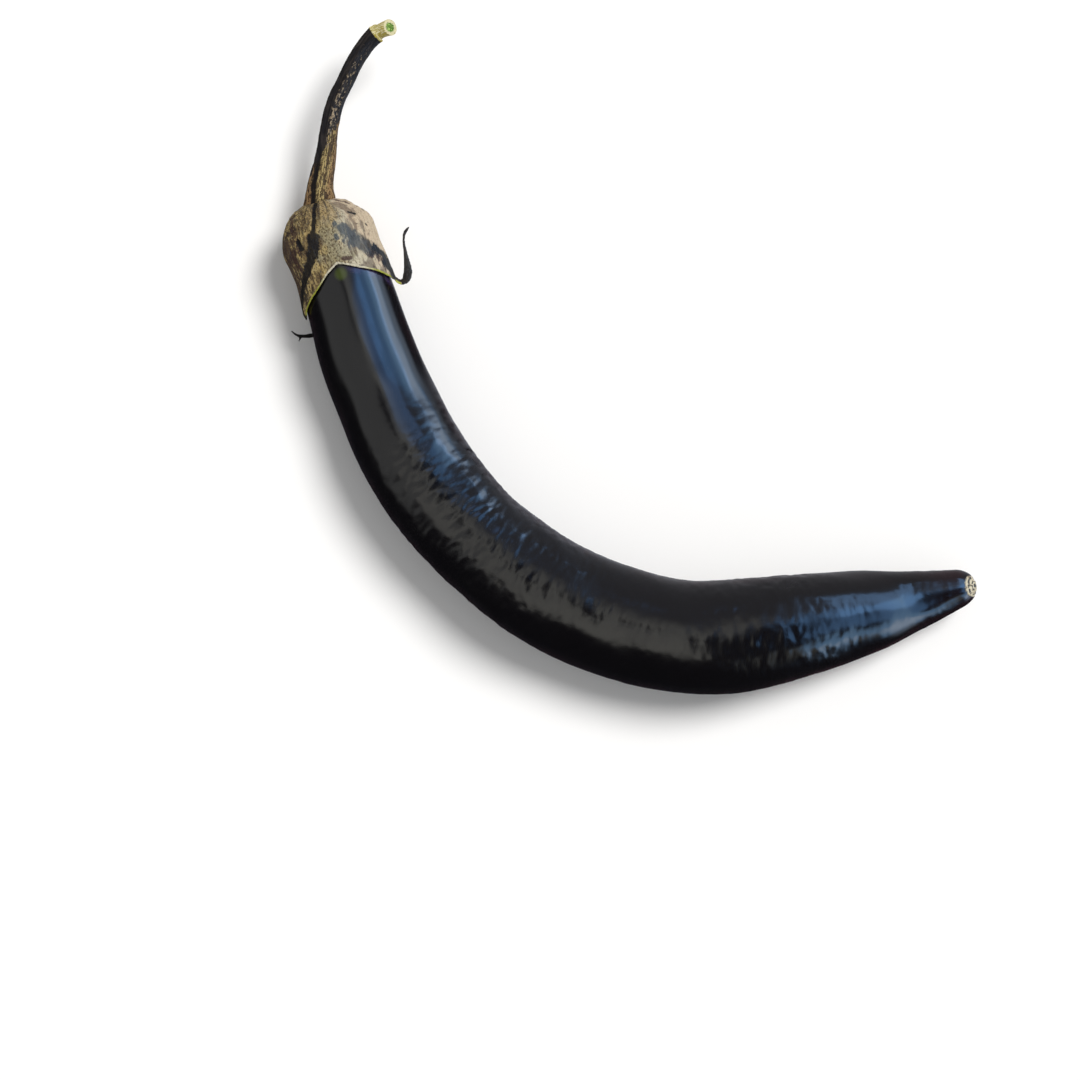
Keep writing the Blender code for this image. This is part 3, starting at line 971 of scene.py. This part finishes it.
@dataclass
class Fruit:
    """The berry. Its neck is smooth, and fine wrinkles run round it from the bend on."""

    route: Route
    wrinkle_start: float = 66.0
    wrinkle_full: float = 110.0
    belly: tuple[float, float, float, float] = (140.0, 165.0, 205.0, 222.0)
    belly_calm: float = 0.6
    taper_calm: float = 0.2
    tip: Span = (238.0, 252.0)
    tip_calm: float = 0.72
    patch_pitch: Triple = (16.0, 8.0, 8.0)
    fold_pitch: Triple = (1.5, 2.2, 2.2)
    fold_depth: float = 0.14
    pucker_pitch: Triple = (2.5, 4.2, 4.2)
    pucker_depth: float = 0.27
    dent_pitch: Triple = (24.0, 14.0, 14.0)
    dent_depth: float = 0.30
    dent_up: Span = (-12.0, -4.0)
    waist: Span = (264.0, 291.0)
    waist_depth: float = 0.6
    waist_up: Span = (-3.0, 3.0)
    waist_side: Span = (9.0, -3.0)
    smooth_end: float = 8.0
    lengthwise: float = 0.7
    ring_cuts: int = 2
    scar_radius: float = 3.9
    scar_ring: float = 1.5
    scar_depth: float = 0.22

    def build(self) -> bpy.types.Object:
        """Makes the piece and dresses it.

        Returns:
            The finished piece.
        """
        piece = Piece.from_node("fruit", "fruit_skin")
        piece.subdivide(1)
        self.add_rings(piece)
        piece.subdivide(1)
        place = piece.place(self.route)
        wrinkled = self.wrinkled(place)
        piece.note(Layer.WRINKLED, wrinkled)
        degrees = np.degrees(np.arctan2(place[:, 1], place[:, 2]))
        piece.note(Layer.PAST_RIM, place[:, 0] - rim_at(degrees))
        piece.carve(self.relief(place, wrinkled))
        finish = SkinFinish(end=self.route.length).material()
        return piece.hand_over(finish, "fruit", "skin")

    def add_rings(self, piece: Piece) -> None:
        """Cuts the lengthwise edges of the wrinkled stretch, so that the wrinkles have room.

        Args:
            piece: The fruit's object.
        """
        points = piece.points()
        ends = piece.edges()
        along, _, _ = self.route.locate(points)
        span = np.abs(along[ends[:, 1]] - along[ends[:, 0]])
        size = np.linalg.norm(points[ends[:, 1]] - points[ends[:, 0]], axis=1)
        last = self.route.length - self.smooth_end
        inside = (along[ends] > self.wrinkle_start) & (along[ends] < last)
        piece.pick_edges(inside.all(axis=1) & (span > self.lengthwise * size))
        bpy.ops.mesh.subdivide(number_cuts=self.ring_cuts, smoothness=1.0)
        bpy.ops.object.mode_set(mode="OBJECT")

    def wrinkled(self, place: np.ndarray) -> np.ndarray:
        """How wrinkled the skin is.

        Args:
            place: Each vertex's place on the straightened fruit.

        Returns:
            Numbers from 0, on the neck, to 1.
        """
        along = place[:, 0]
        grown = ease(along, self.wrinkle_start, self.wrinkle_full)
        start, full, waning, end = self.belly
        calm = 1 - self.belly_calm * ease(along, start, full) * ease(along, end, waning)
        calm *= 1 - self.taper_calm * ease(along, waning, end)
        calm *= 1 - self.tip_calm * ease(along, *self.tip)
        patchy = 0.8 + 0.9 * ripple(place, self.patch_pitch, 31.7)
        return np.clip(grown * calm * patchy, 0.0, 1.0)

    def relief(self, place: np.ndarray, wrinkled: np.ndarray) -> np.ndarray:
        """How deep each vertex sinks.

        Args:
            place: Each vertex's place on the straightened fruit.
            wrinkled: How wrinkled the skin is there.

        Returns:
            Depths in millimetres.
        """
        folds = 0.5 + ripple(place, self.fold_pitch, 3.3)
        puckers = 0.5 + ripple(place, self.pucker_pitch, 8.1)
        relief = self.fold_depth * folds + self.pucker_depth * puckers
        depth = wrinkled * np.clip(relief, 0.0, None)
        start, end = self.waist
        part = np.clip((place[:, 0] - start) / (end - start), 0.0, 1.0)
        facing = ease(place[:, 2], *self.waist_up) * ease(place[:, 1], *self.waist_side)
        depth += self.waist_depth * facing * np.sin(math.pi * part) ** 2
        dents = ripple(place, self.dent_pitch, 12.9)
        lying = ease(place[:, 2], *self.dent_up)
        depth += self.dent_depth * lying * np.clip(0.4 + dents, 0.0, 1.0)
        return depth + self.scar(place)

    def scar(self, place: np.ndarray) -> np.ndarray:
        """How deep the rings and the pit of the blossom scar sink.

        Args:
            place: Each vertex's place on the straightened fruit.

        Returns:
            Depths in millimetres.
        """
        out = np.hypot(place[:, 1], place[:, 2])
        near = ease(place[:, 0], self.route.length - 4.5, self.route.length - 3.5)
        near *= ease(out, self.scar_radius, 0.8 * self.scar_radius)
        wander = 1.2 * ripple(place, (1.6, 1.6, 1.6), 5.5)
        rings = 0.5 - 0.5 * np.cos(2 * math.pi * out / self.scar_ring + 2 * wander)
        pit = 2.0 * ease(out, 1.1, 0.3)
        return self.scar_depth * near * (rings + pit)


@dataclass(frozen=True)
class Stain:
    """A mark on the calyx from one place to another; most are stains, and some are painted shade.

    Each place is a distance along the axis and an angle round it from its upper side.
    """

    start: Span
    end: Span
    half_width: float

    def strength(self, along: np.ndarray, degrees: np.ndarray, out: np.ndarray) -> np.ndarray:
        """How dark each point is: 1 in the middle, one half at the edge, 0 well outside.

        Args:
            along: Distance of each point along the axis.
            degrees: Its angle round the axis.
            out: Its distance from the axis.

        Returns:
            One number from 0 to 1 for each point.
        """
        turned = (degrees - self.start[1] + 180) % 360 - 180
        first = np.column_stack([along - self.start[0], out * np.radians(turned)])
        run = np.column_stack(
            [
                np.full_like(along, self.end[0] - self.start[0]),
                out * math.radians(self.end[1] - self.start[1]),
            ]
        )
        part = np.clip((first * run).sum(axis=1) / (run * run).sum(axis=1), 0.0, 1.0)
        distance = np.linalg.norm(first - part[:, None] * run, axis=1)
        return np.clip(1.5 - distance / self.half_width, 0.0, 1.0)


@dataclass
class Calyx:
    """The dried cap that clasps the neck, with its ribs, fibres, stains, patches of painted shade
    and curled tips.
    """

    route: Route
    voxel: float = 0.34
    smoothing: int = 4
    rib_depth: float = 0.25
    fibre_depth: float = 0.22
    pucker_depth: float = 0.30
    lip_depth: float = 0.35
    lip: Span = (-2.2, -0.2)
    streak_depth: float = 0.25
    streak_fade: Span = (26.0, 18.0)
    lobes: int = 5
    strip_out: float = 18.6
    strip_edge: float = 0.6
    strip_inward: float = 9.0
    tip_start: float = 33.0
    tip_black: float = 37.0
    crown_middle: float = 17.0
    ink: tuple[Stain, ...] = (
        Stain((-1.0, -11.0), (7.0, -13.5), 0.7),
        Stain((7.0, -13.5), (12.5, -18.0), 0.85),
        Stain((12.5, -18.0), (17.5, -25.0), 2.1),
        Stain((17.5, -25.0), (23.0, -45.0), 1.7),
        Stain((23.0, -45.0), (29.0, -68.0), 1.4),
        Stain((29.0, -68.0), (38.0, -90.0), 1.6),
        Stain((21.5, 58.0), (26.0, 78.0), 1.5),
        Stain((26.0, 74.0), (33.0, 88.0), 3.4),
        Stain((6.4, 42.0), (7.6, 48.0), 0.5),
        Stain((12.4, 57.0), (12.9, 59.0), 0.35),
        # Painted shade: a dark line under the shoulder along its right outline.
        Stain((1.0, 84.0), (6.5, 76.0), 0.5),
        Stain((12.2, -40.0), (14.6, -37.0), 1.0),
    )
    slate: tuple[Stain, ...] = (
        Stain((9.6, 12.0), (9.8, 12.5), 0.8),
        Stain((14.0, 9.0), (15.2, 9.6), 0.7),
        Stain((12.2, 20.0), (16.0, 28.0), 2.0),
        Stain((15.5, 25.0), (20.4, 42.0), 2.9),
        Stain((19.5, 40.0), (22.5, 58.0), 2.5),
    )
    # Brown stains; the wide ones on the left flank and on the underside are painted shade.
    brown: tuple[Stain, ...] = (
        Stain((3.5, -60.0), (12.0, -42.0), 1.2),
        Stain((6.0, -100.0), (16.0, -62.0), 3.0),
        Stain((14.0, -58.0), (26.0, -84.0), 4.6),
        Stain((18.0, -100.0), (30.0, -100.0), 5.5),
        Stain((22.2, 8.0), (22.8, 18.0), 0.6),
        Stain((23.0, 46.0), (25.5, 64.0), 1.6),
        Stain((0.5, 40.0), (3.5, 60.0), 0.5),
        Stain((8.0, 120.0), (26.0, 150.0), 3.5),
        Stain((14.0, 200.0), (26.0, 225.0), 4.0),
    )

    def build(self) -> bpy.types.Object:
        """Makes the piece and dresses it.

        Returns:
            The finished piece.
        """
        piece = Piece.from_node("calyx", "calyx_leaf")
        piece.subdivide(1)
        piece.apply("REMESH", mode="VOXEL", voxel_size=self.voxel * MM)
        piece.apply("SMOOTH", factor=0.5, iterations=self.smoothing)
        place = piece.place(self.route)
        along = place[:, 0]
        degrees = np.degrees(np.arctan2(place[:, 1], place[:, 2]))
        out = np.hypot(place[:, 1], place[:, 2])
        past_rim = along - rim_at(degrees)
        stand_off = ease(out, self.strip_out - self.strip_edge, self.strip_out)
        piece.note(Layer.PAST_RIM, past_rim - self.strip_inward * stand_off)
        dark_tips = np.maximum(stand_off, ease(along, self.tip_start, self.tip_black))
        stains = {Layer.INK: self.ink, Layer.SLATE: self.slate, Layer.BROWN: self.brown}
        marked = {}
        for layer, kind in stains.items():
            marks = [stain.strength(along, degrees, out) for stain in kind]
            marks.append(dark_tips * (layer is Layer.INK))
            marked[layer] = np.max(marks, axis=0)
            piece.note(layer, marked[layer])
        outside = self.outside(piece, along)
        depth = self.relief(place, degrees, past_rim)
        # How deep the relief is, for the painted shade in its hollows.
        piece.note(Layer.GROOVE, ease(depth, 0.3, 0.6))
        ink = ease(marked[Layer.INK], 0.2, 0.9)
        depth += self.streak_depth * ink * ease(along, *self.streak_fade)
        piece.carve(depth * outside * (1 - stand_off))
        return piece.hand_over(LeafFinish().material(), "calyx", "calyx")

    def outside(self, piece: Piece, along: np.ndarray) -> np.ndarray:
        """1 on the outer face and 0 on the face that is turned to the fruit.

        Args:
            piece: The calyx's object.
            along: Distance of each vertex along the axis.

        Returns:
            One number from 0 to 1 for each vertex.
        """
        travel, middles = self.route.travel, self.route.middles
        inner = middles[np.searchsorted(travel, self.crown_middle)]
        nearest = np.clip(np.searchsorted(travel, along), 0, len(travel) - 1)
        middle = np.where((along > self.crown_middle)[:, None], middles[nearest], inner)
        away = piece.points() - middle
        away /= np.linalg.norm(away, axis=1)[:, None]
        return ease((away * piece.read("normal")).sum(axis=1), 0.1, 0.5)

    def relief(
        self, place: np.ndarray, degrees: np.ndarray, past_rim: np.ndarray
    ) -> np.ndarray:
        """How deep each vertex sinks: between ribs and fibres, in puckers, and towards the lip.

        Args:
            place: Each vertex's place on the straightened neck.
            degrees: Its angle round the axis.
            past_rim: Its distance past the rim, below 0 on the leaf.

        Returns:
            Depths in millimetres.
        """
        fibres = 0.5 + ripple(place, (9.0, 1.1, 1.1), 2.2)
        sway = 1.5 * ripple(place, (9.0, 6.0, 6.0), 1.0)
        ribs = 0.5 - 0.5 * np.cos(np.radians(self.lobes * degrees - 20) + sway)
        pucker = np.clip(0.45 + ripple(place, (5.0, 3.4, 3.4), 7.7), 0.0, 1.0)
        lip = ease(past_rim, *self.lip)
        depth = self.fibre_depth * fibres + self.rib_depth * ribs + self.pucker_depth * pucker
        return np.clip(depth * (1 - 0.6 * lip) + self.lip_depth * lip, 0.0, None)


@dataclass
class Stem:
    """The bent stalk: ribbed skin, its torn end, and the bare core with its cut."""

    route: Route
    skin_length: float = 58.0
    foot_depth: float = 2.0
    foot_sink: float = 3.0
    foot_spread: float = 1.3
    cut_lean: float = 20.0
    cut_crease: float = 0.75
    cut_inner: float = 2.0
    core_pitch: float = 1.95
    ring_reach: float = 0.5
    levels: int = 3
    ribs: int = 7
    rib_depth: float = 0.16
    fibre_depth: float = 0.20
    knobble_depth: float = 0.10

    def build(self) -> bpy.types.Object:
        """Makes the piece and dresses it.

        Returns:
            The finished piece.
        """
        piece = Piece.from_node("stem", "stem_stalk")
        self.sink_foot(piece)
        self.slant_cut(piece)
        piece.subdivide(self.levels)
        place = piece.place(self.route)
        lean = math.radians(self.cut_lean)
        facing = self.route.ahead[-1] * math.cos(lean) + self.route.upward[-1] * math.sin(lean)
        on_cut = ease(piece.read("normal") @ facing, 0.75, 0.9)
        past_skin = ease(place[:, 0], self.skin_length + 1.0, self.skin_length + 2.0)
        piece.note(Layer.CUT, on_cut * past_skin)
        depth = self.relief(place)
        # How deep the relief is, for the painted shade in its grooves.
        piece.note(Layer.GROOVE, ease(depth, 0.18, 0.36))
        piece.carve(depth)
        finish = StalkFinish(skin_end=self.skin_length)
        return piece.hand_over(finish.material(), "stem", "stem")

    def sink_foot(self, piece: Piece) -> None:
        """Widens the foot and pushes it into the crown that it grows from.

        Args:
            piece: The stem's object.
        """
        middle, ahead = self.route.middles[0], self.route.ahead[0]
        travel = (piece.points() - middle) @ ahead
        piece.pick_edges((travel[piece.edges()] < self.foot_depth).all(axis=1))
        spread = (self.foot_spread,) * 3
        bpy.ops.transform.resize(value=spread, center_override=(middle * MM).tolist())
        bpy.ops.transform.translate(value=(-self.foot_sink * MM * ahead).tolist())
        bpy.ops.object.mode_set(mode="OBJECT")

    def slant_cut(self, piece: Piece) -> None:
        """Leans the end of the core back round its lowest point, and keeps the cut's edge crisp.

        Args:
            piece: The stem's object.
        """
        ahead, upward = self.route.ahead[-1], self.route.upward[-1]
        away = piece.points() - self.route.middles[-1]
        ends = piece.edges()
        far_out = np.linalg.norm(away, axis=1) > self.cut_inner
        on_outline = (np.abs(away @ ahead) < self.ring_reach) & far_out
        rings = ((0.0, self.cut_lean), (-self.core_pitch, 0.5 * self.cut_lean))
        for travel, lean in rings:
            on_ring = np.abs(away @ ahead - travel) < self.ring_reach
            lowest = self.route.middles[-1] + travel * ahead - self.route.radii[-1] * upward
            piece.pick_edges(on_ring[ends].all(axis=1))
            self.lean_back(lowest, math.radians(lean))
            bpy.ops.object.mode_set(mode="OBJECT")
        piece.pick_edges(on_outline[ends].all(axis=1))
        bpy.ops.transform.edge_crease(value=self.cut_crease)
        bpy.ops.object.mode_set(mode="OBJECT")

    def lean_back(self, pivot: np.ndarray, lean: float) -> None:
        """Turns what is selected round the level line across the stem's end.

        Args:
            pivot: A point on that line, in millimetres.
            lean: Radians by which the top moves back.
        """
        across = self.route.across[-1]
        bearing = math.atan2(across[1], across[0])
        for axis, angle in (("Z", bearing), ("X", lean), ("Z", -bearing)):
            bpy.ops.transform.rotate(
                value=angle, orient_axis=axis, center_override=(pivot * MM).tolist()
            )

    def relief(self, place: np.ndarray) -> np.ndarray:
        """How deep each vertex sinks between ribs and fibres.

        Args:
            place: Each vertex's place on the straightened stem.

        Returns:
            Depths in millimetres.
        """
        along = place[:, 0]
        angle = np.arctan2(place[:, 1], place[:, 2])
        sway = 1.3 * ripple(place, (14.0, 3.0, 3.0), 4.4)
        ribs = 0.5 - 0.5 * np.cos(self.ribs * angle + sway)
        fibres = 0.5 + ripple(place, (7.0, 0.55, 0.55), 6.6)
        knobbles = np.clip(0.4 + ripple(place, (1.6, 1.2, 1.2), 9.3), 0.0, 1.0)
        depth = self.rib_depth * ribs + self.fibre_depth * fibres + self.knobble_depth * knobbles
        return np.clip(depth * ease(along, self.skin_length + 1.0, self.skin_length), 0.0, None)


@dataclass(frozen=True)
class Glow:
    """A soft-edged patch of the surroundings that shows only in the gloss.

    Its extents are degrees round the horizon from +X, and degrees down from straight above.
    """

    around: Span
    down: Span
    radiance: Colour
    soft: float = 6.0

    def share(self, graph: Graph, azimuth: Num, zenith: Num) -> Num:
        """How much of the patch each direction shows.

        Args:
            graph: The world's graph.
            azimuth: Degrees round the horizon, from -180 to 180.
            zenith: Degrees down from straight above.

        Returns:
            The patch's mask.
        """
        across = graph.wrapped(azimuth - sum(self.around) / 2)
        half = (self.around[1] - self.around[0]) / 2
        beside = graph.step(abs(across), half + self.soft / 2, half - self.soft / 2)
        below = graph.step(zenith, self.down[0] - self.soft / 2, self.down[0] + self.soft / 2)
        above = graph.step(zenith, self.down[1] + self.soft / 2, self.down[1] - self.soft / 2)
        return beside * below * above


@dataclass(frozen=True)
class Card:
    """A level card of light close above the fruit, which shows only in its gloss."""

    stand: Triple
    size: Span
    turn: float
    radiance: Colour

    def add(self) -> None:
        """Puts the card up, facing down. Sizes are millimetres."""
        bpy.ops.object.light_add(type="AREA", location=Vector(self.stand) * MM)
        lamp = bpy.context.object
        lamp.rotation_euler = (0.0, 0.0, math.radians(self.turn))
        lamp.data.shape = "RECTANGLE"
        lamp.data.size, lamp.data.size_y = (side * MM for side in self.size)
        brightest = max(self.radiance)
        lamp.data.color = tuple(part / brightest for part in self.radiance)
        lamp.data.energy = brightest * math.pi * lamp.data.size * lamp.data.size_y
        lamp.visible_diffuse = False
        lamp.visible_camera = False


@dataclass
class Studio:
    """A pale floor, soft light from the upper right, and a camera that looks straight down."""

    photo_side: float = 1080.0
    millimetres_per_pixel: float = 0.33
    middle_in_photo: Span = (630.0, 359.5)
    axis_height: float = 18.0
    lens: float = 100.0
    sensor: float = 36.0
    floor_colour: Colour = shade(247, 247, 247)
    sun_angle: float = 24.0
    sun_strength: float = 2.75
    sun_from: Triple = (0.42, 0.34, 0.84)
    ambient: float = 0.43
    night: Colour = (0.022, 0.022, 0.028)
    glows: tuple[Glow, ...] = (
        Glow((36, 124), (8, 175), (0.36, 0.36, 0.39), 12),
        Glow((36, 64), (8, 170), (0.38, 0.40, 0.46), 12),
        Glow((-62, -42), (50, 80), (0.65, 0.62, 0.50), 8),
        Glow((150, 214), (6, 82), (0.80, 0.81, 0.80), 14),
        Glow((204, 246), (4, 44), (1.35, 1.33, 1.24), 8),
        Glow((240, 276), (4, 42), (1.55, 1.53, 1.40), 10),
        Glow((56, 124), (-20, 24), (1.45, 1.44, 1.33), 28),
        Glow((45, 315), (-20, 9), (1.60, 1.59, 1.47), 9),
        Glow((-28, 22), (36, 98), (0.85, 1.85, 3.6), 6),
        Glow((18, 41), (26, 98), (0.80, 1.75, 3.4), 5),
        Glow((-50, 38), (56, 96), (1.5, 2.9, 4.8), 6),
        Glow((-46, 40), (70, 92), (3.8, 4.8, 6.2), 5),
        Glow((-46, 36), (92, 110), (1.2, 1.5, 1.9), 14),
    )
    cards: tuple[Card, ...] = (
        Card((-38, 47, 150), (104, 42), 35, (0.45, 1.05, 2.3)),
        Card((167.5, 15, 150), (17, 150), 0, (1.2, 2.4, 4.4)),
        Card((253, 85, 150), (154, 290), 0, (1.2, 2.4, 4.4)),
    )

    def build(self) -> None:
        """Sets up the floor, the lamps, the surroundings and the camera."""
        self.add_floor()
        self.add_lamps()
        self.add_surroundings()
        self.add_camera()

    def add_floor(self) -> None:
        """A wide pale floor that the gloss doesn't mirror."""
        bpy.ops.mesh.primitive_plane_add(size=8.0, location=(0.0, 0.0, 0.0))
        floor = bpy.context.object
        floor.name = "floor"
        floor.visible_glossy = False
        graph = Graph(bpy.data.materials.new("pale_floor"))
        floor.data.materials.append(
            graph.dress(Base_Color=self.floor_colour, Roughness=0.9, Specular_IOR_Level=0.1)
        )

    def add_lamps(self) -> None:
        """A soft main light, and the cards that show in the gloss."""
        bpy.ops.object.light_add(type="SUN")
        sun = bpy.context.object
        sun.name = "soft_key"
        sun.rotation_euler = Vector(self.sun_from).to_track_quat("Z", "Y").to_euler()
        sun.data.energy = self.sun_strength
        sun.data.angle = math.radians(self.sun_angle)
        sun.data.color = (1.0, 0.985, 0.965)
        sun.visible_glossy = False
        for card in self.cards:
            card.add()

    def add_surroundings(self) -> None:
        """An even pale room, with patches of sky and of wall that only the gloss shows."""
        graph = Graph(bpy.data.worlds.new("pale_room"))
        direction = graph.node("ShaderNodeTexCoord").outputs["Generated"]
        east, north, high = graph.split(direction)
        azimuth = north.angle(east) * (180 / math.pi)
        zenith = high.arc() * (180 / math.pi)
        colour = self.night
        for glow in self.glows:
            colour = graph.mix(colour, glow.radiance, glow.share(graph, azimuth, zenith))
        rays = graph.node("ShaderNodeLightPath")
        in_gloss = Num(graph, rays.outputs["Is Glossy Ray"])
        room = graph.mix((self.ambient,) * 3, colour, in_gloss)
        bpy.context.scene.world = graph.dress(Color=room, Strength=1.0)

    def add_camera(self) -> None:
        """A long lens above the photo's middle, with the top of the photo towards +Y."""
        scale = self.millimetres_per_pixel * MM
        across, down = (self.photo_side / 2 - part for part in self.middle_in_photo)
        width = self.photo_side * scale
        height = width * self.lens / self.sensor + self.axis_height * MM
        bpy.ops.object.camera_add(location=(across * scale, -down * scale, height))
        camera = bpy.context.object
        camera.name = "camera"
        camera.rotation_euler = (0.0, 0.0, 0.0)
        camera.data.lens = self.lens
        camera.data.sensor_width = self.sensor
        bpy.context.scene.camera = camera
        bpy.context.scene.view_settings.view_transform = "Standard"


def main() -> None:
    """Builds the pieces and the studio, and logs each piece's triangles."""
    logging.basicConfig(level=logging.INFO, format="%(message)s")
    lifted = [(x, y, base + radius, radius) for x, y, base, radius in FRUIT_STATIONS]
    neck = Route(lifted)
    stalk = Route(STEM_STATIONS)
    for part in (Fruit(neck), Calyx(neck), Stem(stalk)):
        piece = part.build()
        triangles = sum(len(face.vertices) - 2 for face in piece.data.polygons)
        log.info("%s: %d triangles", piece.name, triangles)
    Studio().build()


if __name__ == "__main__":
    main()
